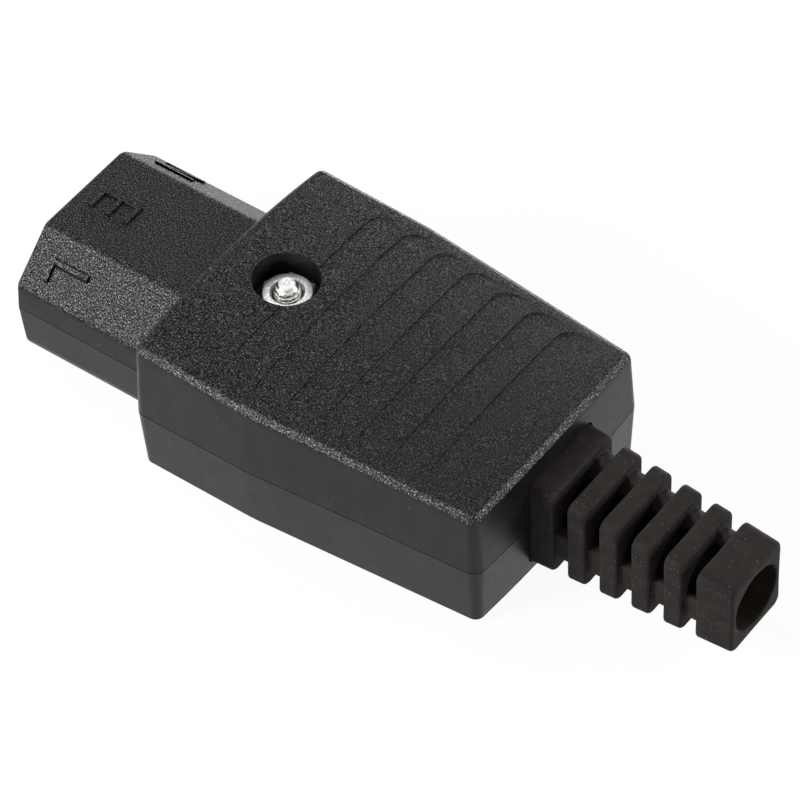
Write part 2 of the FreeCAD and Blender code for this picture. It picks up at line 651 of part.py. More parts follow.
def boot_gaps():
    """Start and end of each ring groove along the boot."""
    first = BODY_LENGTH + BOOT_COLLAR
    return [(first + BOOT_PITCH * k, first + BOOT_PITCH * k + BOOT_GAP) for k in range(BOOT_GAP_COUNT)]


def strain_relief():
    """Rubber boot: flange inside the shells, tapered ribs, slots across one corner and a round bore."""
    end = BODY_LENGTH + BOOT_REACH
    start = CAVITY_REAR_X
    core = boot_core(start, end)
    rings = []
    slots = []
    for x0, x1 in boot_gaps():
        rings.append(block(x0, x1, -BEYOND, BEYOND, -BEYOND, BEYOND).cut(core))
        half = boot_size(x0)[0]
        floor_z = BOOT_BORE_Z + half * SLOT_SIDE_SHARE
        slots.append(block(x0, x1, -BEYOND, half * SLOT_TOP_SHARE, floor_z, BEYOND))
    boot = boot_hull(start, end)
    boot = boot.makeChamfer(BOOT_EASE, [e for e in boot.Edges if e.BoundBox.XMin > end - TINY])
    boot = boot.cut(rings + slots)

    flange_x = start - FLANGE_LENGTH
    flange = block(flange_x, start, -FLANGE_HALF_WIDTH, FLANGE_HALF_WIDTH, WALL, FLANGE_TOP_Z)
    bore = Part.makeCylinder(BOOT_BORE_RADIUS, end - flange_x, V(flange_x, 0, BOOT_BORE_Z), V(1, 0, 0))
    return boot.fuse(flange).removeSplitter().cut(bore)


def all_parts():
    """Every node's solid, by name, in the modelling frame."""
    middle = TERMINAL_LENGTH / 2
    poles = {
        "live": (TERMINAL_X, -TERMINAL_Y),
        "neutral": (TERMINAL_X, TERMINAL_Y),
        "earth": (EARTH_TERMINAL_X, EARTH_TERMINAL_Y),
    }
    parts = {
        "upper_shell": upper_shell(),
        "lower_shell": lower_shell(),
        "live_contact": side_contact(-1),
        "neutral_contact": side_contact(1),
        "earth_contact": earth_contact(),
        "cable_clamp": cable_clamp(),
        "closing_screw": closing_screw(),
        "closing_nut": closing_nut(),
        "strain_relief": strain_relief(),
    }
    for pole, (x, y) in poles.items():
        parts[pole + "_terminal"] = terminal(x, y)
        parts[pole + "_terminal_screw"] = screw(
            x + middle, y, TERMINAL_TOP_Z, TERMINAL_SCREW_LENGTH, TERMINAL_SCREW_DIAMETER,
            TERMINAL_HEAD_DIAMETER, TERMINAL_HEAD_HEIGHT)
    for name, side in (("left", -1), ("right", 1)):
        parts["clamp_screw_" + name] = screw(
            CLAMP_X, side * CLAMP_SCREW_Y, CLAMP_BASE_Z + CLAMP_LUG, CLAMP_SCREW_LENGTH,
            CLAMP_SCREW_DIAMETER, CLAMP_HEAD_DIAMETER, CLAMP_HEAD_HEIGHT)
    return parts


def main():
    """Centre the part over the origin and write one file per node."""
    os.makedirs("parts", exist_ok=True)
    for name, shape in all_parts().items():
        shape.translate(FRAME_SHIFT)
        print(name, "solids", len(shape.Solids), "valid", shape.isValid(), "volume", round(shape.Volume, 1))
        shape.exportStep(os.path.join("parts", name + ".step"))


main()
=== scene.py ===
"""Dresses the rewirable three-pole connector: moulded shells, rubber boot, plated fasteners and brass.

Every length that ends in _mm is in millimetres of the part's own frame and is scaled by MM when a
mesh is made. X runs from the nose to the cable end, Z is up and the part lies on its lower shell.
"""

import logging
import math
from dataclasses import dataclass
from enum import Enum

import bmesh
import bpy
import numpy as np
from mathutils import Matrix, Vector
from mathutils.bvhtree import BVHTree


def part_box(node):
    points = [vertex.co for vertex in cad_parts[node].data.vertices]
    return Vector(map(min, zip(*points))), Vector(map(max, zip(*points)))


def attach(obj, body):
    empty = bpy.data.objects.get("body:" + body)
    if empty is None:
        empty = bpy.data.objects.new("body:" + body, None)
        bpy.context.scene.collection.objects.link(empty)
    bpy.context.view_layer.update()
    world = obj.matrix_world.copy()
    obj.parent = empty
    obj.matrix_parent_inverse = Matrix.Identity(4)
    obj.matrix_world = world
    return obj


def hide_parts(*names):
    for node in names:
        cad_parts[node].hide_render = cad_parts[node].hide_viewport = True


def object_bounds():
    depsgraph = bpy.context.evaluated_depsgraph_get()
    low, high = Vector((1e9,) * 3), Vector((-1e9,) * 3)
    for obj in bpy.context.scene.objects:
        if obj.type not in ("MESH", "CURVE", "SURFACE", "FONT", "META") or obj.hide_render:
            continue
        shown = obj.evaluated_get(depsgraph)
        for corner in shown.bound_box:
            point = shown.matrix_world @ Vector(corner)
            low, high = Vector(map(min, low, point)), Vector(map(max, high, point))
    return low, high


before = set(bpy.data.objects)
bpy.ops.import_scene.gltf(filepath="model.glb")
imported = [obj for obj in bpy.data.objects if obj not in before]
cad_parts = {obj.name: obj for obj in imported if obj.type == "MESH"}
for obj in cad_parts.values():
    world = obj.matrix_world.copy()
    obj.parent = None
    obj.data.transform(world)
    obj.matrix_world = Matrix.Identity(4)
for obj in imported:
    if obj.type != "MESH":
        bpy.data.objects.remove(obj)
CAD_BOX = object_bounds()
MM = 0.001
BODY = "root"
LOG = logging.getLogger("connector")

Array = np.ndarray
Pair = tuple[float, float]
Triple = tuple[float, float, float]
Colour = Triple
Socket = bpy.types.NodeSocket
Material = bpy.types.Material
Piece = bpy.types.Object

# Most values of a fractal noise lie in this span.
NOISE_SPAN: Pair = (0.3, 0.7)


class Slot(Enum):
    """The record's material slot names."""

    SHELL = "shell_plastic"
    BOOT = "boot_rubber"
    ZINC = "closing_zinc"


class Way(Enum):
    """How one closed mesh is combined with another."""

    CUT = "DIFFERENCE"
    JOIN = "UNION"


class Pole(Enum):
    """The three pole marks that the standard puts on such a nose."""

    LIVE = "L"
    EARTH = "E"
    NEUTRAL = "N"


class Recipe:
    """One material's node tree, with short calls that add and join its nodes.

    A Mix node has inputs and outputs of one name for numbers, vectors and colours, so the ones for
    colours are taken by their place in the list. SPECK_CORE is the share of a dust speck's radius
    within which it is fully there.
    """

    MIX_COLOURS = (6, 7)
    MIX_COLOUR_RESULT = 2
    MIX_NUMBER_RESULT = 0
    SPECK_CORE = 0.6

    def __init__(self, name: str) -> None:
        """Starts an empty material with an output and a Principled shader.

        Args:
            name: The finish's name.
        """
        self.material = bpy.data.materials.new(name)
        self.material.use_nodes = True
        self.tree = self.material.node_tree
        self.tree.nodes.clear()
        self.output = self.tree.nodes.new("ShaderNodeOutputMaterial")
        self.shader = self.tree.nodes.new("ShaderNodeBsdfPrincipled")
        self.join(self.shader.outputs["BSDF"], self.output.inputs["Surface"])
        self.coords = self.tree.nodes.new("ShaderNodeTexCoord")

    def join(self, start: Socket, end: Socket) -> None:
        """Links one socket to another."""
        self.tree.links.new(start, end)

    def feed(self, socket: Socket, value: object) -> None:
        """Links an input to a socket, or sets it to a number, a vector or an opaque colour.

        Args:
            socket: The input.
            value: What feeds it.
        """
        if isinstance(value, Socket):
            self.join(value, socket)
        elif isinstance(socket, bpy.types.NodeSocketColor):
            socket.default_value = (*value, 1.0)
        else:
            socket.default_value = value

    def feed_all(self, node: bpy.types.Node, inputs: dict[str, object]) -> None:
        """Feeds a node's inputs, which are given by name with _ for a space."""
        for key, value in inputs.items():
            self.feed(node.inputs[key.replace("_", " ")], value)

    def shade(self, **inputs: object) -> None:
        """Feeds inputs of the Principled shader, which are given by name with _ for a space."""
        self.feed_all(self.shader, inputs)

    def add(self, kind: str, settings: dict | None = None, **inputs: object) -> bpy.types.Node:
        """Adds a node, sets its properties and feeds its inputs.

        Args:
            kind: The node's type name without the ShaderNode prefix.
            settings: Properties of the node, by name.
            **inputs: Inputs by name, with _ for a space.

        Returns:
            The new node.
        """
        node = self.tree.nodes.new("ShaderNode" + kind)
        for key, value in (settings or {}).items():
            setattr(node, key, value)
        self.feed_all(node, inputs)
        return node

    def stretched(self, scale: Triple, shift: Triple = (0.0, 0.0, 0.0)) -> Socket:
        """Gives Object coordinates scaled and then moved by a Mapping node.

        Args:
            scale: Factors along X, Y and Z.
            shift: What is added along X, Y and Z after that.

        Returns:
            The mapped coordinates.
        """
        node = self.add("Mapping", Vector=self.coords.outputs["Object"], Scale=scale, Location=shift)
        return node.outputs["Vector"]

    def place_mm(self, axis: str) -> Socket:
        """Gives the place along the named axis, in millimetres."""
        return self.add("SeparateXYZ", Vector=self.stretched((1 / MM, 1 / MM, 1 / MM))).outputs[axis]

    def upward(self) -> Socket:
        """Gives how far the surface looks up, which is its normal's Z."""
        return self.add("SeparateXYZ", Vector=self.coords.outputs["Normal"]).outputs["Z"]

    def noise(self, per_mm: float, detail: float = 2.0, roughness: float = 0.5,
              vector: Socket | None = None) -> Socket:
        """Adds fractal noise on Object coordinates.

        Args:
            per_mm: Cells in a millimetre.
            detail: Octaves.
            roughness: How strongly the finer octaves show.
            vector: Other coordinates to use.

        Returns:
            The noise value, about 0 to 1.
        """
        node = self.add("TexNoise", Vector=vector or self.coords.outputs["Object"],
                        Scale=per_mm / MM, Detail=detail, Roughness=roughness)
        return node.outputs["Fac"]

    def ramp(self, value: Socket, low: float, high: float,
             to_low: float = 0.0, to_high: float = 1.0) -> Socket:
        """Carries a value smoothly from one span to another.

        Args:
            value: What is carried over.
            low: Start of its span.
            high: End of its span.
            to_low: Result at the start.
            to_high: Result at the end.

        Returns:
            The result, held between to_low and to_high.
        """
        node = self.add("MapRange", {"interpolation_type": "SMOOTHSTEP"}, Value=value,
                        From_Min=low, From_Max=high, To_Min=to_low, To_Max=to_high)
        return node.outputs["Result"]

    def calc(self, kind: str, first: object, second: object) -> Socket:
        """Works out one number from two.

        Args:
            kind: The Math node's operation.
            first: A number or a socket.
            second: A number or a socket.

        Returns:
            The result.
        """
        node = self.add("Math", {"operation": kind})
        for socket, value in zip(node.inputs, (first, second)):
            self.feed(socket, value)
        return node.outputs["Value"]

    def mix(self, share: Socket, first: object, second: object) -> Socket:
        """Mixes two numbers by a share, where 0 gives the first and 1 the second."""
        node = self.add("Mix", {"data_type": "FLOAT"}, Factor=share, A=first, B=second)
        return node.outputs[self.MIX_NUMBER_RESULT]

    def blend(self, share: Socket, first: object, second: object) -> Socket:
        """Mixes two colours by a share.

        Args:
            share: 0 gives the first and 1 the second.
            first: A colour or a colour socket.
            second: A colour or a colour socket.

        Returns:
            The mixed colour.
        """
        node = self.add("Mix", {"data_type": "RGBA"}, Factor=share)
        for place, value in zip(self.MIX_COLOURS, (first, second)):
            self.feed(node.inputs[place], value)
        return node.outputs[self.MIX_COLOUR_RESULT]

    def dust(self, per_mm: float, radius_mm: float, share: float) -> Socket:
        """Scatters round specks: a small ball about the middle of some cells of a cell pattern.

        Args:
            per_mm: Cells in a millimetre.
            radius_mm: Radius of a speck.
            share: Share of the cells that have one.

        Returns:
            1 in a speck and 0 elsewhere.
        """
        cells = self.add("TexVoronoi", Vector=self.coords.outputs["Object"], Scale=per_mm / MM)
        chosen = self.add("SeparateColor", Color=cells.outputs["Color"]).outputs["Red"]
        reach = radius_mm * per_mm
        near = self.ramp(cells.outputs["Distance"], reach * self.SPECK_CORE, reach, 1.0, 0.0)
        return self.calc("MULTIPLY", near, self.calc("LESS_THAN", chosen, share))

    def bump(self, height: Socket, depth_mm: float) -> None:
        """Raises the surface by a height pattern that is depth_mm deep."""
        node = self.add("Bump", Height=height, Distance=depth_mm * MM, Strength=1.0)
        self.join(node.outputs["Normal"], self.shader.inputs["Normal"])


@dataclass(frozen=True)
class ShellNylon:
    """Black moulded nylon: spark-eroded grain on top faces and smooth satin on drawn sides.

    Fields for flat tops towards the cable end make the grain there darker and duller, those that start
    with rim give the body's slanted rims paler specks, a painted highlight, and more gloss, and those
    with crown and skin are for the curved top with the finger grip.
    """

    name: str = "shell_nylon"
    ior: float = 1.34
    dark: Colour = (0.0004, 0.0003, 0.0003)
    pale: Colour = (0.0120, 0.0092, 0.0100)
    speck: Colour = (0.114, 0.100, 0.104)
    grain_per_mm: float = 6.2
    grain_depth_mm: float = 0.060
    fine_ratio: float = 2.3
    coarse_share: float = 0.72
    pale_span: Pair = (0.44, 0.62)
    tip_span: Pair = (0.48, 0.66)
    gloss_span: Pair = (0.41, 0.66)
    speck_from: float = 0.50
    valley_gloss: float = 0.06
    tip_gloss: float = 0.92
    valley_roughness: float = 0.52
    tip_roughness: float = 0.32
    upward_span: Pair = (0.18, 0.34)
    crown_fall: float = 0.0478
    crown_bend_per_mm: float = 0.0032
    skin_span_mm: Pair = (17.70, 17.78)
    # Flat tops towards the cable end: darker, duller grain that changes smoothly along X.
    rearward_dark: Colour = (0.0030, 0.0026, 0.0027)
    rearward_speck: Colour = (0.058, 0.050, 0.053)
    rearward_upward: Pair = (0.90, 0.97)
    rearward_along_mm: Pair = (-22.0, 16.0)
    rearward_valley_gloss: float = 0.16
    rearward_tip_gloss: float = 0.62
    # Painted highlight: specks on the body's slanted rims are paler than elsewhere.
    rim_highlight_speck: Colour = (0.158, 0.140, 0.145)
    rim_upward: Pair = (0.95, 0.86)
    rim_along_mm: Pair = (-24.7, -24.2)
    rim_valley_gloss: float = 0.16
    rim_tip_gloss: float = 1.06
    drawn: Colour = (0.0019, 0.0017, 0.0018)
    satin: Colour = (0.0052, 0.0049, 0.0052)
    satin_gloss: float = 0.5
    satin_roughness: float = 0.36
    cloud_per_mm: float = 0.35
    polish_per_mm: float = 1.6
    polish_swing: float = 0.04
    flow_per_mm: float = 7.0
    flow_share: float = 0.05
    dust: Colour = (0.13, 0.13, 0.13)
    dust_per_mm: float = 0.55
    dust_radius_mm: float = 0.065
    dust_share: float = 0.5

    def grained(self, r: Recipe) -> Socket:
        """Says where the mould was spark eroded.

        That is where the surface normal's Z is over a limit, and in the skin under the crowned top,
        so that the low walls of the grip have the grain too. The crown's height falls along X and
        with the square of Y, so Z is levelled by both before it is compared.

        Args:
            r: The material's recipe.

        Returns:
            1 on grained faces and 0 on drawn ones.
        """
        across = r.place_mm("Y")
        bend = r.calc("MULTIPLY", r.calc("MULTIPLY", across, across), self.crown_bend_per_mm)
        fall = r.calc("MULTIPLY", r.place_mm("X"), self.crown_fall)
        level = r.calc("ADD", r.calc("ADD", r.place_mm("Z"), bend), fall)
        return r.calc("MAXIMUM", r.ramp(r.upward(), *self.upward_span), r.ramp(level, *self.skin_span_mm))

    def zone(self, r: Recipe, upward: Pair, along_mm: Pair) -> Socket:
        """Marks a zone by how far its surface looks up and by its place along X.

        Args:
            r: The material's recipe.
            upward: The normal's Z outside the zone and in it.
            along_mm: The place along X before the zone and in it.

        Returns:
            1 in the zone and 0 outside it, eased between.
        """
        return r.calc("MULTIPLY", r.ramp(r.upward(), *upward), r.ramp(r.place_mm("X"), *along_mm))

    def make(self) -> Material:
        """Makes the nylon.

        The grain's height is three octaves of noise and one finer noise. Its tips are paler and
        glossier than its valleys, so that it glitters where a lamp is mirrored. On flat tops towards the
        cable end the grain is darker and glitters less. On the body's slanted rims its specks are
        painted paler, as a painted highlight, and it glitters more.

        Returns:
            The material.
        """
        r = Recipe(self.name)
        grained = self.grained(r)
        # Flat tops grow darker and duller towards the cable end.
        rearward = self.zone(r, self.rearward_upward, self.rearward_along_mm)
        # Painted highlight on the body's slanted rims: paler specks and more gloss.
        rim_highlight = self.zone(r, self.rim_upward, self.rim_along_mm)
        coarse = r.noise(self.grain_per_mm, detail=3.0, roughness=0.62)
        fine = r.noise(self.grain_per_mm * self.fine_ratio, detail=1.0)
        height = r.calc("ADD", r.calc("MULTIPLY", coarse, self.coarse_share),
                        r.calc("MULTIPLY", fine, 1.0 - self.coarse_share))
        tips = r.ramp(height, *self.tip_span)
        valley = r.blend(rearward, self.dark, self.rearward_dark)
        base = r.blend(r.ramp(height, *self.pale_span), valley, self.pale)
        speck = r.blend(rim_highlight, r.blend(rearward, self.speck, self.rearward_speck), self.rim_highlight_speck)
        base = r.blend(r.ramp(tips, self.speck_from, 1.0), base, speck)
        cloud = r.noise(self.cloud_per_mm, detail=3.0, roughness=0.6)
        side = r.blend(r.ramp(cloud, *NOISE_SPAN), self.drawn, self.satin)
        dusty = r.dust(self.dust_per_mm, self.dust_radius_mm, self.dust_share)
        r.shade(Base_Color=r.blend(dusty, r.blend(grained, side, base), self.dust), IOR=self.ior)
        gloss = r.ramp(height, *self.gloss_span, self.valley_gloss, self.tip_gloss)
        rearward_gloss = r.ramp(height, *self.gloss_span, self.rearward_valley_gloss, self.rearward_tip_gloss)
        rim_gloss = r.ramp(height, *self.gloss_span, self.rim_valley_gloss, self.rim_tip_gloss)
        gloss = r.mix(rim_highlight, r.mix(rearward, gloss, rearward_gloss), rim_gloss)
        r.shade(Specular_IOR_Level=r.mix(grained, self.satin_gloss, gloss))
        polish = r.ramp(r.noise(self.polish_per_mm, detail=3.0, roughness=0.6), *NOISE_SPAN,
                        self.satin_roughness - self.polish_swing, self.satin_roughness + self.polish_swing)
        grit = r.ramp(tips, 0.0, 1.0, self.valley_roughness, self.tip_roughness)
        r.shade(Roughness=r.mix(grained, polish, grit))
        flow = r.calc("MULTIPLY", r.noise(self.flow_per_mm), self.flow_share)
        r.bump(r.mix(grained, flow, height), self.grain_depth_mm)
        return r.material


@dataclass(frozen=True)
class BootRubber:
    """Matt brown-black rubber with a fine skin and specks of dust."""

    name: str = "boot_rubber"
    ior: float = 1.36
    gloss: float = 0.36
    roughness: Pair = (0.70, 0.84)
    dark: Colour = (0.0026, 0.0016, 0.0012)
    pale: Colour = (0.0092, 0.0060, 0.0049)
    cloud_per_mm: float = 0.6
    cloud_span: Pair = (0.32, 0.68)
    cloud_share: float = 0.8
    skin_per_mm: float = 5.0
    skin_depth_mm: float = 0.030
    dust: Colour = (0.090, 0.083, 0.077)
    dust_per_mm: float = 2.0
    dust_radius_mm: float = 0.072
    dust_share: float = 0.50
    # Painted shade: the bore gets its own colour, low gloss and no dust, to darken it.
    bore: Colour = (0.0060, 0.0042, 0.0026)
    bore_shade_gloss: float = 0.14
    bore_axis_z_mm: float = 7.55
    bore_edge_mm: Pair = (3.70, 3.90)

    def make(self) -> Material:
        """Makes the rubber: clouded colour, fine bump and dust, and painted shade in the bore.

        The bore is where the distance from its axis, which lies along X, is small.

        Returns:
            The material.
        """
        r = Recipe(self.name)
        section = r.stretched((0.0, 1 / MM, 1 / MM), (0.0, 0.0, -self.bore_axis_z_mm))
        reach = r.add("VectorMath", {"operation": "LENGTH"}, Vector=section).outputs["Value"]
        # Painted shade inside the bore.
        inside = r.ramp(reach, *self.bore_edge_mm, 1.0, 0.0)
        cloud = r.noise(self.cloud_per_mm, detail=4.0, roughness=0.65)
        skin = r.noise(self.skin_per_mm, detail=3.0, roughness=0.6)
        base = r.blend(r.ramp(cloud, *self.cloud_span), self.dark, self.pale)
        dusty = r.dust(self.dust_per_mm, self.dust_radius_mm, self.dust_share)
        r.shade(Base_Color=r.blend(inside, r.blend(dusty, base, self.dust), self.bore), IOR=self.ior,
                Specular_IOR_Level=r.mix(inside, self.gloss, self.bore_shade_gloss),
                Roughness=r.ramp(skin, *NOISE_SPAN, *self.roughness))
        r.bump(r.calc("ADD", skin, r.calc("MULTIPLY", cloud, self.cloud_share)), self.skin_depth_mm)
        return r.material


@dataclass(frozen=True)
class PlatedMetal:
    """Metal with a plated or rolled skin: uneven gloss, small pits and fine streaks."""

    name: str
    dull: Colour
    bright: Colour
    roughness: float
    streak: Triple = (1.0, 1.0, 1.0)
    grain_per_mm: float = 3.0
    depth_mm: float = 0.010
    mottle_span: Pair = (0.35, 0.65)
    dull_rougher: float = 0.10
    bright_smoother: float = 0.06

    def make(self) -> Material:
        """Makes the metal: a mottled colour, and a roughness and bump that follow one noise.

        Returns:
            The material.
        """
        r = Recipe(self.name)
        grain = r.noise(self.grain_per_mm, detail=4.0, roughness=0.65, vector=r.stretched(self.streak))
        base = r.blend(r.ramp(grain, *self.mottle_span), self.dull, self.bright)
        gloss = r.ramp(grain, *NOISE_SPAN, self.roughness + self.dull_rougher,
                       self.roughness - self.bright_smoother)
        r.shade(Base_Color=base, Metallic=1.0, Roughness=gloss)
        r.bump(grain, self.depth_mm)
        return r.material


@dataclass(frozen=True)
class ClampNylon:
    """Plain dark nylon of the cable clamp inside, with slight flow marks."""

    name: str = "clamp_nylon"
    dark: Colour = (0.010, 0.010, 0.011)
    pale: Colour = (0.024, 0.024, 0.025)
    roughness: Pair = (0.4, 0.5)
    flow_per_mm: float = 0.9
    flow_stretch: Triple = (1.0, 0.3, 1.0)
    grain_per_mm: float = 6.0
    grain_depth_mm: float = 0.006

    def make(self) -> Material:
        """Makes the nylon from flow marks stretched along the clamp.

        Returns:
            The material.
        """
        r = Recipe(self.name)
        flow = r.noise(self.flow_per_mm, detail=3.0, roughness=0.6, vector=r.stretched(self.flow_stretch))
        r.shade(Base_Color=r.blend(flow, self.dark, self.pale),
                Roughness=r.ramp(flow, *NOISE_SPAN, *self.roughness))
        r.bump(r.noise(self.grain_per_mm), self.grain_depth_mm)
        return r.material


@dataclass(frozen=True)
class FloorWhite:
    """White studio floor that keeps a faint shadow of the part."""

    name: str = "floor_white"
    paper: Colour = (0.82, 0.82, 0.82)
    fibre_per_mm: float = 0.05
    fibre_share: float = 0.99
    roughness: float = 0.9
    lit_share: float = 0.94

    def make(self) -> Material:
        """Makes the floor: paper that lights the part, mixed with plain white where it is seen.

        Returns:
            The material.
        """
        r = Recipe(self.name)
        fibre = tuple(c * self.fibre_share for c in self.paper)
        r.shade(Base_Color=r.blend(r.noise(self.fibre_per_mm), self.paper, fibre), Roughness=self.roughness)
        path = r.add("LightPath").outputs
        seen = r.calc("MAXIMUM", path["Is Camera Ray"], path["Is Glossy Ray"])
        seen = r.calc("MAXIMUM", seen, path["Is Transmission Ray"])
        white = r.add("Emission", Strength=1.0)
        mixed = r.add("MixShader")
        share, first, second = mixed.inputs
        r.join(r.calc("MULTIPLY", seen, self.lit_share), share)
        r.join(r.shader.outputs["BSDF"], first)
        r.join(white.outputs["Emission"], second)
        r.join(mixed.outputs["Shader"], r.output.inputs["Surface"])
        return r.material


NUT_ZINC = PlatedMetal("nut_zinc", (0.50, 0.50, 0.49), (0.86, 0.86, 0.85), 0.46,
                       grain_per_mm=3.2, depth_mm=0.040)
SCREW_ZINC = PlatedMetal("screw_zinc", (0.44, 0.44, 0.42), (0.84, 0.84, 0.82), 0.24,
                         grain_per_mm=2.6, depth_mm=0.030)
BRASS = PlatedMetal("rolled_brass", (0.50, 0.34, 0.13), (0.74, 0.55, 0.25), 0.30, (0.25, 1.0, 1.0))
STEEL = PlatedMetal("plated_steel", (0.42, 0.41, 0.39), (0.62, 0.61, 0.59), 0.34)


class Surface:
    """Turns numpy grids of points into meshes."""

    @staticmethod
    def turns(columns: int) -> Array:
        """Gives the angles of one full turn in equal steps, as one row."""
        return np.linspace(0.0, 2 * math.pi, columns, endpoint=False)[None, :]

    @staticmethod
    def lathed(axis: Array, radius: Array, height: Array) -> Array:
        """Gives rows of points round an upright axis.

        A point lies off the axis by its radius times the cosine and sine of its angle, at its row's
        height.

        Args:
            axis: The axis's place (x, y).
            radius: Radii of shape (rows, columns).
            height: Heights of shape (rows, 1).

        Returns:
            Points of shape (rows, columns, 3).
        """
        turn = Surface.turns(radius.shape[1])
        x, y = axis[0] + radius * np.cos(turn), axis[1] + radius * np.sin(turn)
        return np.stack([x, y, height + 0 * turn], -1)

    @staticmethod
    def quads(rows: int, columns: int, rows_closed: bool, columns_closed: bool) -> Array:
        """Lists the four corners of each cell of a grid, whose points are numbered row by row.

        Args:
            rows: Points along the first parameter.
            columns: Points along the second parameter.
            rows_closed: Whether the last row joins the first.
            columns_closed: Whether the last column joins the first.

        Returns:
            An array of corner numbers, four to a cell.
        """
        i = np.arange(rows if rows_closed else rows - 1)[:, None]
        j = np.arange(columns if columns_closed else columns - 1)[None, :]
        below, beside = (i + 1) % rows, (j + 1) % columns
        corners = [i * columns + j, i * columns + beside, below * columns + beside, below * columns + j]
        return np.stack(corners, axis=-1).reshape(-1, 4)

    @staticmethod
    def piece(name: str, points_mm: Array, faces: list[list[int]]) -> Piece:
        """Makes an object whose mesh faces outwards.

        The enclosed volume is the sum of each face fan's triple products, and a negative one means
        that the faces look inwards, so they are turned round.

        Args:
            name: The piece's name.
            points_mm: Corner points in millimetres, shape (n, 3).
            faces: Corner numbers of each face.

        Returns:
            The object, linked to the scene.
        """
        mesh = bpy.data.meshes.new(name)
        mesh.from_pydata((points_mm * MM).tolist(), [], faces)
        piece = bpy.data.objects.new(name, mesh)
        bpy.context.scene.collection.objects.link(piece)
        work = bmesh.new()
        work.from_mesh(mesh)
        if work.calc_volume(signed=True) < 0:
            bmesh.ops.reverse_faces(work, faces=work.faces)
        work.to_mesh(mesh)
        work.free()
        return piece

    @staticmethod
    def tube(name: str, points_mm: Array, ring: bool) -> Piece:
        """Makes a piece from rows of closed loops.

        The first end's face runs round the other way than the last end's, so that both look outwards.

        Args:
            name: The piece's name.
            points_mm: Points of shape (rows, columns, 3); each row is a closed loop.
            ring: Whether the last row joins the first; otherwise both ends get a flat face.

        Returns:
            The object.
        """
        rows, columns, _ = points_mm.shape
        faces = Surface.quads(rows, columns, ring, True).tolist()
        if not ring:
            faces.append(list(range(columns))[::-1])
            faces.append(list(range((rows - 1) * columns, rows * columns)))
        return Surface.piece(name, points_mm.reshape(-1, 3), faces)

    @staticmethod
    def smooth(piece: Piece, sharp_deg: float) -> None:
        """Shades a piece smooth but for edges that bend by more than sharp_deg."""
        piece.data.shade_smooth()
        piece.data.set_sharp_from_angle(angle=math.radians(sharp_deg))

    @staticmethod
    def combine(piece: Piece, tool: Piece, way: Way) -> None:
        """Cuts a closed mesh out of another, or joins it on, for good, and removes the tool.

        Args:
            piece: The mesh that changes.
            tool: The mesh that is cut out or joined on.
            way: Which of the two.
        """
        boolean = piece.modifiers.new("combine", "BOOLEAN")
        boolean.operation = way.value
        boolean.solver = "EXACT"
        boolean.object = tool
        bpy.context.view_layer.update()
        shape = piece.evaluated_get(bpy.context.evaluated_depsgraph_get())
        mesh = bpy.data.meshes.new_from_object(shape)
        piece.modifiers.remove(boolean)
        piece.data = mesh
        bpy.data.objects.remove(tool)


def dress(piece: Piece, material: Material) -> None:
    """Gives a piece or a CAD node one material in place of what it had."""
    piece.data.materials.clear()
    piece.data.materials.append(material)


def axis_of(node: str) -> Array:
    """Gives the place (x, y) in millimetres of an upright solid's axis, the middle of its box."""
    low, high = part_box(node)
    return np.array((low.x + high.x, low.y + high.y)) / 2 / MM


def settle(piece: Piece, material: Material, sharp_deg: float,
           node: str) -> None:
    """Smooths and dresses a new piece, and lets it ride on the body in place of a CAD node.

    Args:
        piece: The new piece.
        material: Its finish.
        sharp_deg: Edges that bend by more than this stay sharp.
        node: The CAD node that it stands for.
    """
    Surface.smooth(piece, sharp_deg)
    dress(piece, material)
    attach(piece, BODY)
    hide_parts(node)
    LOG.info("piece %s: %d faces", piece.name, len(piece.data.polygons))


@dataclass
class PoleMark:
    """One raised pole letter on a face of the nose.

    The letter's foot is towards the nose's front and its up is along +X, so it reads when the
    nose points at the reader. right is the direction of the letter's arms along the face. Its walls
    are upright, because the mould opens along Z.
    """

    pole: Pole
    middle_mm: Pair
    right: Triple
    foot_x_mm: float
    height_mm: float
    width_mm: float
    rise_mm: float
    stroke_mm: float = 0.55
    root_mm: float = 0.60
    probe_mm: float = 1.0

    def outline(self) -> Array:
        """Gives the letter as a closed outline of strokes of one width.

        Returns:
            Points (across, up) in millimetres, shape (n, 2).
        """
        w, h, s = self.width_mm, self.height_mm, self.stroke_mm
        low, high = (h - s) / 2, (h + s) / 2
        slant = s * math.hypot(w - s, h) / h
        letters = {
            Pole.LIVE: [(0, 0), (w, 0), (w, s), (s, s), (s, h), (0, h)],
            Pole.EARTH: [(0, 0), (w, 0), (w, s), (s, s), (s, low), (w, low), (w, high), (s, high),
                         (s, h - s), (w, h - s), (w, h), (0, h)],
            Pole.NEUTRAL: [(0, 0), (s, 0), (s, h - 2 * slant), (w - s, 0), (w, 0), (w, h), (w - s, h),
                           (w - s, 2 * slant), (s, h), (0, h)],
        }
        return np.array(letters[self.pole]) - (w / 2, 0)

    def block(self, shell: BVHTree) -> Piece:
        """Makes the letter as a block that stands out of the face.

        A ray from probe_mm above finds the face. The outline lies on it and is carried along Z, from
        root_mm under it to rise_mm over it.

        Args:
            shell: The shell's faces.

        Returns:
            The letter.
        """
        right = np.array(self.right) / np.linalg.norm(self.right)
        up = np.array((1.0, 0.0, 0.0))
        y, z = self.middle_mm
        above = np.array((self.foot_x_mm + self.height_mm / 2, y, z + self.probe_mm))
        hit, *_ = shell.ray_cast(Vector(above * MM), Vector((0.0, 0.0, -1.0)))
        foot = np.array(hit) / MM - up * self.height_mm / 2
        flat = foot + self.outline() @ np.stack([right, up])
        lift = np.array([-self.root_mm, self.rise_mm])[:, None, None] * np.array((0.0, 0.0, 1.0))
        return Surface.tube("mark_" + self.pole.value, flat[None] + lift, False)


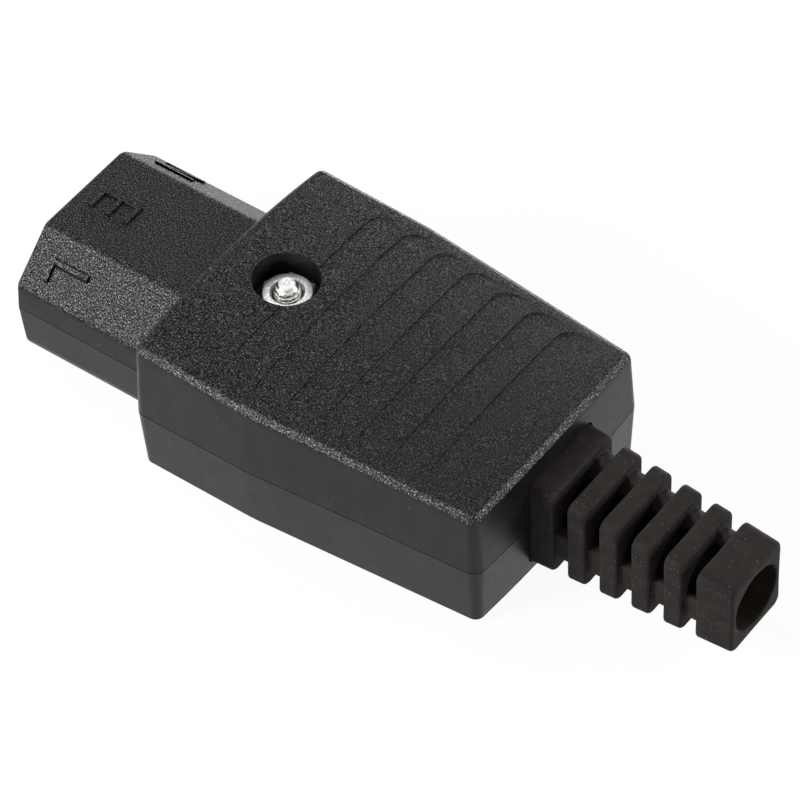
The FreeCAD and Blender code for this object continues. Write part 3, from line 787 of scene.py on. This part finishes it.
@dataclass
class Shell:
    """A moulded half shell: the CAD solid's mesh merged, with smooth rounds and even rims."""

    node: str
    name: str
    weld_mm: float = 0.002
    sharp_deg: float = 42.0

    def build(self) -> Piece:
        """Copies the node's mesh into a new piece and merges its loose triangles.

        Returns:
            The new piece.
        """
        piece = bpy.data.objects.new(self.name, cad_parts[self.node].data.copy())
        bpy.context.scene.collection.objects.link(piece)
        loose_normals = piece.data.attributes.get("custom_normal")
        if loose_normals:
            piece.data.attributes.remove(loose_normals)
        work = bmesh.new()
        work.from_mesh(piece.data)
        bmesh.ops.remove_doubles(work, verts=work.verts, dist=self.weld_mm * MM)
        bmesh.ops.dissolve_degenerate(work, edges=work.edges, dist=self.weld_mm * MM)
        work.to_mesh(piece.data)
        work.free()
        return piece

    def finish(self, piece: Piece, material: Material) -> None:
        """Weights the shell's normals by face area, so that its rims look even, and settles it.

        Args:
            piece: The built shell.
            material: Its finish.
        """
        weighted = piece.modifiers.new("even_rims", "WEIGHTED_NORMAL")
        weighted.keep_sharp = True
        settle(piece, material, self.sharp_deg, self.node)


@dataclass
class MarkedShell(Shell):
    """The upper shell, with the three pole marks raised on its nose."""

    top_z_mm: float = 17.1
    top_half_mm: float = 6.6
    slope: Pair = (0.7095, -0.7048)
    earth_y_mm: float = -0.565
    live_down_mm: float = 4.65
    neutral_down_mm: float = 4.45

    def slanted(self, side: int, down_mm: float) -> Pair:
        """Gives the place (y, z) on a slanted face, down_mm from the nose's top edge."""
        return side * (self.top_half_mm + self.slope[0] * down_mm), self.top_z_mm + self.slope[1] * down_mm

    def marks(self) -> list[PoleMark]:
        """Places a mark on the nose's top and on each of its slanted faces.

        Returns:
            The earth, live and neutral marks.
        """
        across, fall = self.slope
        return [
            PoleMark(Pole.EARTH, (self.earth_y_mm, self.top_z_mm), (0.0, -1.0, 0.0),
                     foot_x_mm=-41.30, height_mm=5.33, width_mm=2.95, rise_mm=0.30),
            PoleMark(Pole.LIVE, self.slanted(-1, self.live_down_mm), (0.0, -across, fall),
                     foot_x_mm=-40.90, height_mm=5.08, width_mm=2.60, rise_mm=0.54),
            PoleMark(Pole.NEUTRAL, self.slanted(1, self.neutral_down_mm), (0.0, -across, -fall),
                     foot_x_mm=-40.75, height_mm=5.20, width_mm=3.00, rise_mm=0.40),
        ]

    def build(self) -> Piece:
        """Copies the shell and joins its marks on.

        Returns:
            The new piece.
        """
        piece = super().build()
        faces = BVHTree.FromObject(piece, bpy.context.evaluated_depsgraph_get())
        for mark in self.marks():
            Surface.combine(piece, mark.block(faces), Way.JOIN)
        return piece


@dataclass
class Boot:
    """The slotted rubber boot on the cable end, one closed skin round its bore.

    A row of the skin is a closed loop round the bore axis, given by its distance from the axis at
    each angle. Angles run from +Y over +Z. Rows follow the boot's section from the flange inside the
    body over the ribs to the end face and back through the bore.
    """

    axis_z_mm: float = 7.55
    bore_radius_mm: float = 3.5
    bore_lead_mm: float = 0.6
    bore_stop_mm: float = 0.1
    bore_steps: int = 12
    root_x_mm: float = 19.45
    end_x_mm: float = 44.05
    half_width_mm: Pair = (5.65, 4.5)
    low_z_mm: Pair = (1.8, 2.7)
    high_z_mm: Pair = (14.0, 12.5)
    corner_radius_mm: float = 1.0
    collar_lead_mm: float = 0.5
    collar_stop_mm: float = 0.8
    collar_steps: int = 6
    gap_count: int = 5
    first_gap_x_mm: float = 22.45
    gap_pitch_mm: float = 3.87
    gap_width_mm: float = 1.7
    web_depth_mm: float = 0.75
    web_corner_mm: float = 2.0
    slot_skin_mm: float = 0.12
    slot_top_share: float = 0.44
    slot_side_share: float = 0.05
    slot_ease_deg: float = 2.2
    slot_steps: int = 24
    slot_overlap_mm: float = 0.03
    slot_reach_mm: float = 0.3
    rib_round_mm: float = 0.36
    rib_steps: int = 6
    wall_steps: int = 9
    floor_round_mm: float = 0.22
    floor_steps: int = 6
    end_round_mm: float = 0.45
    end_steps: int = 8
    face_steps: int = 6
    mouth_radius_mm: float = 3.98
    mouth_round_mm: float = 0.26
    mouth_taper_mm: float = 3.2
    mouth_steps: int = 9
    mouth_waves: tuple[Triple, ...] = (
        (0.05, 3.0, 0.6), (0.03, 7.0, 2.0), (0.03, 13.0, 0.0), (0.02, 23.0, 1.0))
    least_face_mm: float = 0.06
    flange_x_mm: Pair = (14.85, 17.25)
    flange_half_mm: float = 7.6
    flange_z_mm: Pair = (2.0, 14.7)
    flange_bevel_mm: float = 0.3
    columns: int = 336
    least_slope: float = 1e-9
    sharp_deg: float = 60.0

    def angles(self) -> Array:
        """Gives the angles round the axis, one row."""
        return Surface.turns(self.columns)

    def reach(self, half: Array, low: Array, high: Array, corner: float) -> Array:
        """Gives the distance from the axis to a rectangle with round corners, at each angle.

        A ray from the axis meets the nearest of the rectangle's side lines. Where that point is in a
        corner's square, the ray goes on to the corner's arc instead, at the larger root of its
        distance to the arc's centre.

        Args:
            half: Half widths in Y, shape (rows, 1), or one for all rows.
            low: Lower edges in Z.
            high: Upper edges in Z.
            corner: Corner radius.

        Returns:
            Distances of shape (rows, columns).
        """
        cosine, sine = np.cos(self.angles()), np.sin(self.angles())
        y, z = (np.maximum(abs(part), self.least_slope) for part in (cosine, sine))
        edge = np.where(sine > 0, high - self.axis_z_mm, self.axis_z_mm - low)
        flat = np.minimum(half / y, edge / z)
        centre_y, centre_z = half - corner, edge - corner
        in_corner = (flat * y > centre_y) & (flat * z > centre_z)
        along = y * centre_y + z * centre_z
        beside = np.maximum(along**2 - centre_y**2 - centre_z**2 + corner**2, 0.0)
        return np.where(in_corner, along + np.sqrt(beside), flat)

    def taper(self, ends: Pair, x: Array | float) -> Array:
        """Gives a size at places along X, where it goes evenly from the root's to the end's."""
        return np.interp(x, (self.root_x_mm, self.end_x_mm), ends)

    def tapered(self, x: Array, inset: float = 0.0, corner: float | None = None) -> Array:
        """Gives the tapered hull's distance from the axis at places along it.

        Args:
            x: Places along X, shape (rows, 1).
            inset: How far inside the hull.
            corner: Another corner radius.

        Returns:
            Distances of shape (rows, columns).
        """
        return self.reach(self.taper(self.half_width_mm, x) - inset, self.taper(self.low_z_mm, x) + inset,
                          self.taper(self.high_z_mm, x) - inset, corner or self.corner_radius_mm)

    def slot_span(self, x: float) -> Pair:
        """Gives the angles at which the slot in a gap starts and ends.

        The slot takes the quarter of the section towards -Y and +Z, from a share of the top's half
        width to just over the axis on the side.

        Args:
            x: The gap's middle.

        Returns:
            First and last angle in radians.
        """
        half = self.taper(self.half_width_mm, x)
        high = self.taper(self.high_z_mm, x) - self.axis_z_mm
        return math.atan2(high, self.slot_top_share * half), math.pi - math.atan(self.slot_side_share)

    def slotted(self, x: float) -> Array:
        """Says where round the axis a gap is a deep slot: 1 in the slot and 0 beside it.

        Args:
            x: The gap's middle.

        Returns:
            Shares of shape (1, columns), eased at both ends.
        """
        start, end = self.slot_span(x)
        ease = math.radians(self.slot_ease_deg)

        def step(turn: Array) -> Array:
            """Rises smoothly from 0 to 1 over the ease on both sides of zero."""
            t = np.clip(0.5 + turn / (2 * ease), 0.0, 1.0)
            return t * t * (3 - 2 * t)

        return step(self.angles() - start) * step(end - self.angles())

    def opening(self, x0: float) -> Piece:
        """Makes the tool that opens a slot's floor into the bore.

        A rectangle in the plane of the axis is carried round it, over the slot's own angles less the
        ease at each end. It is a little wider than the gap, so that no thin ledge is left.

        Args:
            x0: Where the gap starts.

        Returns:
            The tool.
        """
        ease = math.radians(self.slot_ease_deg)
        first, last = self.slot_span(x0 + self.gap_width_mm / 2)
        turn = np.linspace(first + ease, last - ease, self.slot_steps)[:, None]
        near, far = x0 - self.slot_overlap_mm, x0 + self.gap_width_mm + self.slot_overlap_mm
        inside = self.bore_radius_mm - self.slot_reach_mm
        outside = self.bore_radius_mm + self.slot_skin_mm + self.slot_reach_mm
        x = np.array([near, far, far, near])[None, :]
        r = np.array([inside, inside, outside, outside])[None, :]
        points = np.stack([x + 0 * turn, r * np.cos(turn), self.axis_z_mm + r * np.sin(turn)], -1)
        return Surface.tube("slot_opening", points, False)

    def gap(self, x0: float) -> tuple[Array, Array]:
        """Gives the rows that go down one rib's wall, over the gap's floor and up the next wall.

        A rib's edge is a quarter round, its wall goes straight down to the gap's own depth at each
        angle, and the floor meets it in a smaller quarter round. The second half mirrors the first.

        Args:
            x0: Where the gap starts.

        Returns:
            Places along X of shape (rows, 1), and distances of shape (rows, columns).
        """
        edge, foot = self.rib_round_mm, self.floor_round_mm
        t = np.linspace(0.0, math.pi / 2, self.rib_steps)
        wall = np.linspace(0.0, 1.0, self.wall_steps)[1:]
        x = np.concatenate([-edge + edge * np.sin(t), 0 * wall, foot * (1 - np.cos(t[1:]))])
        sunk = np.concatenate([edge * (1 - np.cos(t)), 0 * wall + edge, edge + foot * np.sin(t[1:])])
        down = np.concatenate([0 * t, wall, 0 * t[1:] + 1])
        floor = np.linspace(foot, self.gap_width_mm - foot, self.floor_steps)[1:-1]
        x = np.concatenate([x, floor, self.gap_width_mm - x[::-1]])[:, None] + x0
        sunk = np.concatenate([sunk, 0 * floor + edge + foot, sunk[::-1]])[:, None]
        down = np.concatenate([down, 0 * floor + 1, down[::-1]])[:, None]
        hull = self.tapered(x)
        slot = self.slotted(x0 + self.gap_width_mm / 2)
        web = self.tapered(x, self.web_depth_mm, self.web_corner_mm)
        floor_reach = web + (self.bore_radius_mm + self.slot_skin_mm - web) * slot
        return x, hull - sunk - down * (hull - floor_reach - edge - foot)

    def flange(self) -> tuple[Array, Array]:
        """Gives the rows of the flange that the shells hold, from the bore out and in to the hull.

        Returns:
            Places along X of shape (rows, 1), and distances of shape (rows, columns).
        """
        (x0, x1), bevel = self.flange_x_mm, self.flange_bevel_mm
        x = np.array([x0, x0, x0 + bevel, x1 - bevel, x1, x1])[:, None]
        rim = self.reach(self.flange_half_mm, *self.flange_z_mm, self.corner_radius_mm)
        reach = rim - np.array([0.0, bevel, 0.0, 0.0, bevel, 0.0])[:, None]
        reach[0] = self.bore_radius_mm
        reach[-1] = self.tapered(x[-1:])[0]
        return x, reach

    def mouth(self) -> tuple[Array, Array]:
        """Gives the rows over the rounded end, across the end face and back through the bore.

        The mouth's edge is a little uneven, as cut rubber is: a few low waves round it. A small round
        leads into a taper, along which the waves die away, and the taper runs into the plain bore.

        Returns:
            Places along X of shape (rows, 1), and distances of shape (rows, columns).
        """
        t = np.linspace(0.0, math.pi / 2, self.end_steps)[:, None]
        end, lip = self.end_round_mm, self.mouth_round_mm
        x_over = self.end_x_mm - end + end * np.sin(t)
        over = self.tapered(x_over) - end * (1 - np.cos(t))
        across = np.linspace(0.0, 1.0, self.face_steps)[1:-1, None]
        height, count, lag = (np.array(row)[:, None] for row in zip(*self.mouth_waves))
        waves = (height * np.sin(count * self.angles() + lag)).sum(axis=0, keepdims=True)
        inner = np.minimum(self.mouth_radius_mm + waves, over[-1:] - self.least_face_mm)
        face = over[-1:] + (inner - over[-1:]) * across
        x_lip = self.end_x_mm - lip + lip * np.cos(t)
        lip_reach = inner - lip * np.sin(t)
        inward = np.linspace(0.0, 1.0, self.mouth_steps)[1:, None]
        x_taper = self.end_x_mm - lip - self.mouth_taper_mm * inward
        taper = lip_reach[-1:] + (self.bore_radius_mm - lip_reach[-1:]) * inward
        x_bore = np.linspace(x_taper[-1] - self.bore_lead_mm, [self.flange_x_mm[0] + self.bore_stop_mm],
                             self.bore_steps)
        bore = np.full((self.bore_steps, self.columns), self.bore_radius_mm)
        x = np.concatenate([x_over, 0 * across + self.end_x_mm, x_lip, x_taper, x_bore])
        return x, np.concatenate([over, face, lip_reach, taper, bore])

    def build(self) -> Piece:
        """Joins the rows into one closed skin and opens its slots.

        Returns:
            The boot.
        """
        gaps = [self.first_gap_x_mm + k * self.gap_pitch_mm for k in range(self.gap_count)]
        collar = np.linspace(self.flange_x_mm[1] + self.collar_lead_mm, gaps[0] - self.collar_stop_mm,
                             self.collar_steps)[:, None]
        parts = [self.flange(), (collar, self.tapered(collar)), *map(self.gap, gaps), self.mouth()]
        x, reach = (np.concatenate(rows) for rows in zip(*parts))
        y, z = reach * np.cos(self.angles()), self.axis_z_mm + reach * np.sin(self.angles())
        piece = Surface.tube("cable_boot", np.stack([x + 0 * reach, y, z], -1), True)
        for x0 in gaps:
            Surface.combine(piece, self.opening(x0), Way.CUT)
        settle(piece, BootRubber().make(), self.sharp_deg, "strain_relief")
        return piece


@dataclass
class ClosingScrew:
    """The screw that shuts the shells: slotted head below, cut thread and chamfered end on top."""

    head_radius_mm: float = 2.75
    head_z_mm: Pair = (1.2, 3.2)
    head_bevel_mm: float = 0.35
    head_shares: tuple[float, ...] = (0.3, 0.87, 1.0, 1.0, 0.96, 0.56)
    seat_bevel_mm: float = 0.1
    thread_lead_mm: float = 0.05
    crest_radius_mm: float = 1.5
    crest_power: float = 0.8
    root_radius_mm: float = 1.02
    pitch_mm: float = 0.5
    tip_radius_mm: float = 0.92
    tip_shares: tuple[float, ...] = (0.9, 0.4)
    tip_slope: float = 0.75
    slot_width_mm: float = 1.1
    slot_depth_mm: float = 1.0
    slot_below_mm: float = 0.5
    slot_length_share: float = 1.2
    columns: int = 64
    rows_per_turn: int = 12
    sharp_deg: float = 40.0

    def build(self) -> Piece:
        """Makes the screw as rows of loops up its axis and cuts the slot in its head.

        In the thread, the radius is the root's plus the thread's depth times a rounded wave of the
        height less the share of a turn, so the wave climbs one pitch in a turn. Near the end a cone
        limits the radius. The head and its seat are plain rows.

        Returns:
            The screw.
        """
        axis = axis_of("closing_screw")
        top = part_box("closing_screw")[1].z / MM
        turn = Surface.turns(self.columns)
        low, seat = self.head_z_mm
        head_z = np.array([low, low, low + self.head_bevel_mm,
                           seat - self.seat_bevel_mm, seat, seat])[:, None]
        head_r = np.array(self.head_shares)[:, None] * self.head_radius_mm
        count = int((top - seat) / self.pitch_mm * self.rows_per_turn)
        z = np.linspace(seat + self.thread_lead_mm, top, count)[:, None]
        phase = 2 * math.pi * z / self.pitch_mm - turn
        wave = (0.5 + 0.5 * np.cos(phase)) ** self.crest_power
        thread = self.root_radius_mm + (self.crest_radius_mm - self.root_radius_mm) * wave
        thread = np.minimum(thread, self.tip_radius_mm + (top - z) * self.tip_slope)
        end_r = np.array(self.tip_shares)[:, None] * self.tip_radius_mm
        radius = np.concatenate([head_r + 0 * turn, thread, end_r + 0 * turn])
        height = np.concatenate([head_z, z, 0 * end_r + top])
        piece = Surface.tube("closing_screw_threaded", Surface.lathed(axis, radius, height), False)
        Surface.combine(piece, self.slot_bar(axis), Way.CUT)
        settle(piece, SCREW_ZINC.make(), self.sharp_deg, "closing_screw")
        return piece

    def slot_bar(self, axis: Array) -> Piece:
        """Makes the bar that cuts the driver slot: a rectangle carried across the head.

        Args:
            axis: The screw's place (x, y).

        Returns:
            The bar.
        """
        w, r = self.slot_width_mm / 2, self.head_radius_mm * self.slot_length_share
        low, high = self.head_z_mm[0] - self.slot_below_mm, self.head_z_mm[0] + self.slot_depth_mm
        across = np.array([-r, r])[:, None]
        side, height = np.array([[-w, w, w, -w]]), np.array([[low, low, high, high]])
        x, y = axis[0] + across + 0 * side, axis[1] + side + 0 * across
        return Surface.tube("slot_bar", np.stack([x, y, height + 0 * across], -1), False)


@dataclass
class ClosingNut:
    """The hexagon nut sunk in the top, with turned faces and a countersunk thread."""

    flats_mm: float = 5.5
    face_share: float = 0.98
    face_rim_mm: float = 0.06
    face_fall_mm: float = 0.04
    hole_radius_mm: float = 1.70
    sink_radius_mm: float = 1.86
    sink_rim_mm: float = 0.05
    sink_fall_mm: float = 0.06
    columns: int = 96
    sharp_deg: float = 35.0

    def build(self) -> Piece:
        """Makes the nut as one ring of rows round its section.

        A row's radius is the smaller of the hexagon's, half the flats over the cosine of the angle
        to the nearest flat's middle, and a round limit that the turned faces give.

        Returns:
            The nut.
        """
        low, high = (corner.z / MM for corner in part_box("closing_nut"))
        from_flat = Surface.turns(self.columns) % (math.pi / 3) - math.pi / 6
        hexagon = self.flats_mm / 2 / np.cos(from_flat)
        face = self.flats_mm / 2 * self.face_share
        corner = self.flats_mm / 2 / math.cos(math.pi / 6)
        fall = (corner - face) * math.tan(math.pi / 6)
        hole, sink = self.hole_radius_mm, self.sink_radius_mm
        rim_z, sink_z = high - self.face_fall_mm, high - self.sink_fall_mm
        limit = np.array([sink, sink + self.sink_rim_mm, face - self.face_rim_mm, face, corner, corner,
                          face, sink, hole, hole])[:, None]
        z = np.array([sink_z, high, high, rim_z, rim_z - fall, low + fall,
                      low, low, low + sink - hole, sink_z - sink + hole])[:, None]
        points = Surface.lathed(axis_of("closing_nut"), np.minimum(hexagon, limit), z)
        piece = Surface.tube("closing_nut_turned", points, True)
        settle(piece, NUT_ZINC.make(), self.sharp_deg, "closing_nut")
        return piece


@dataclass
class InnerWorks:
    """The CAD pieces inside the shells, which keep their shape and get their finish."""

    brass_nodes: tuple[str, ...] = ("live_contact", "neutral_contact", "earth_contact",
                                    "live_terminal", "neutral_terminal", "earth_terminal")
    steel_nodes: tuple[str, ...] = ("live_terminal_screw", "neutral_terminal_screw",
                                    "earth_terminal_screw", "clamp_screw_left", "clamp_screw_right")
    nylon_nodes: tuple[str, ...] = ("cable_clamp",)

    def dress(self) -> None:
        """Gives each group of nodes its material."""
        groups = ((self.brass_nodes, BRASS.make()), (self.steel_nodes, STEEL.make()),
                  (self.nylon_nodes, ClampNylon().make()))
        for nodes, material in groups:
            for node in nodes:
                dress(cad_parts[node], material)
                LOG.info("node %s: %s", node, material.name)


@dataclass
class Lamp:
    """One soft studio lamp, a square panel that looks at the part."""

    name: str
    toward: Triple
    distance_m: float
    size_m: float
    power_w: float

    def build(self) -> None:
        """Hangs the lamp along its direction from the part and aims it."""
        data = bpy.data.lights.new(self.name, "AREA")
        data.shape = "SQUARE"
        data.size = self.size_m
        data.energy = self.power_w
        lamp = bpy.data.objects.new(self.name, data)
        direction = Vector(self.toward).normalized()
        lamp.location = direction * self.distance_m
        lamp.rotation_euler = direction.to_track_quat("Z", "Y").to_euler()
        bpy.context.scene.collection.objects.link(lamp)


@dataclass
class Studio:
    """White floor, pale world, soft lamps and the camera at the photograph's angle."""

    floor_half_m: float = 3.0
    floor_rows: int = 9
    floor_drop_mm: float = 0.02
    world_strength: float = 0.34
    azimuth_deg: float = 38.70
    elevation_deg: float = 48.25
    roll_deg: float = -3.05
    distance_mm: float = 478.75
    target_mm: Triple = (-1.81, 0.80, 8.0)
    lens_mm: float = 202.5
    sensor_mm: float = 36.0
    clip_start_m: float = 0.01

    def floor(self) -> None:
        """Lays a flat grid just under the part's lowest point."""
        line = np.linspace(-self.floor_half_m, self.floor_half_m, self.floor_rows) / MM
        x, y = np.meshgrid(line, line)
        level = CAD_BOX[0].z / MM - self.floor_drop_mm
        points = np.stack([x, y, 0 * x + level], -1).reshape(-1, 3)
        faces = Surface.quads(self.floor_rows, self.floor_rows, False, False).tolist()
        floor = Surface.piece("floor", points, faces)
        dress(floor, FloorWhite().make())

    def world(self) -> None:
        """Lights the part evenly, and shows plain white where the world itself is seen."""
        world = bpy.data.worlds.new("studio")
        bpy.context.scene.world = world
        world.use_nodes = True
        tree = world.node_tree
        background = tree.nodes["Background"]
        path = tree.nodes.new("ShaderNodeLightPath")
        level = tree.nodes.new("ShaderNodeMapRange")
        level.inputs["To Min"].default_value = self.world_strength
        level.inputs["To Max"].default_value = 1.0
        seen = path.outputs["Is Camera Ray"]
        for kind in ("Is Glossy Ray", "Is Transmission Ray"):
            either = tree.nodes.new("ShaderNodeMath")
            either.operation = "MAXIMUM"
            tree.links.new(seen, either.inputs[0])
            tree.links.new(path.outputs[kind], either.inputs[1])
            seen = either.outputs["Value"]
        tree.links.new(seen, level.inputs["Value"])
        background.inputs["Color"].default_value = (1.0, 1.0, 1.0, 1.0)
        tree.links.new(level.outputs["Result"], background.inputs["Strength"])

    def lamps(self) -> None:
        """Hangs the key lamp at the front left, a low one behind, one at the rear and a weak one above."""
        for lamp in (
            Lamp("key", (-0.46, -0.74, 0.49), distance_m=0.6, size_m=0.22, power_w=5.9),
            Lamp("behind", (-0.35, 0.93, 0.060), distance_m=0.8, size_m=0.09, power_w=3.2),
            Lamp("rear", (0.72, 0.52, 0.39), distance_m=0.7, size_m=0.16, power_w=4.2),
            Lamp("over", (-0.62, 0.20, 0.76), distance_m=0.3, size_m=0.14, power_w=0.13),
        ):
            lamp.build()

    def camera(self) -> None:
        """Stands the camera on its sight line, rolled about it."""
        a, e, roll = (math.radians(v) for v in (self.azimuth_deg, self.elevation_deg, self.roll_deg))
        back = Vector((math.sin(a) * math.cos(e), -math.cos(a) * math.cos(e), math.sin(e)))
        right = Matrix.Rotation(roll, 3, back) @ Vector((math.cos(a), math.sin(a), 0.0))
        up = back.cross(right)
        data = bpy.data.cameras.new("photo_camera")
        data.sensor_width = self.sensor_mm
        data.lens = self.lens_mm
        data.clip_start = self.clip_start_m
        camera = bpy.data.objects.new("photo_camera", data)
        place = (Vector(self.target_mm) + back * self.distance_mm) * MM
        camera.matrix_world = Matrix.Translation(place) @ Matrix((right, up, back)).transposed().to_4x4()
        bpy.context.scene.collection.objects.link(camera)
        bpy.context.scene.camera = camera

    def build(self) -> None:
        """Sets up the whole studio."""
        bpy.context.scene.view_settings.view_transform = "Standard"
        self.floor()
        self.world()
        self.lamps()
        self.camera()


def main() -> None:
    """Builds the studio and every piece of the connector in order."""
    logging.basicConfig(level=logging.INFO, format="%(message)s")
    Studio().build()
    nylon = ShellNylon().make()
    shells = (MarkedShell("upper_shell", "upper_shell_marked"), Shell("lower_shell", "lower_shell_smooth"))
    for shell in shells:
        shell.finish(shell.build(), nylon)
    Boot().build()
    ClosingScrew().build()
    ClosingNut().build()
    InnerWorks().dress()


if __name__ == "__main__":
    main()
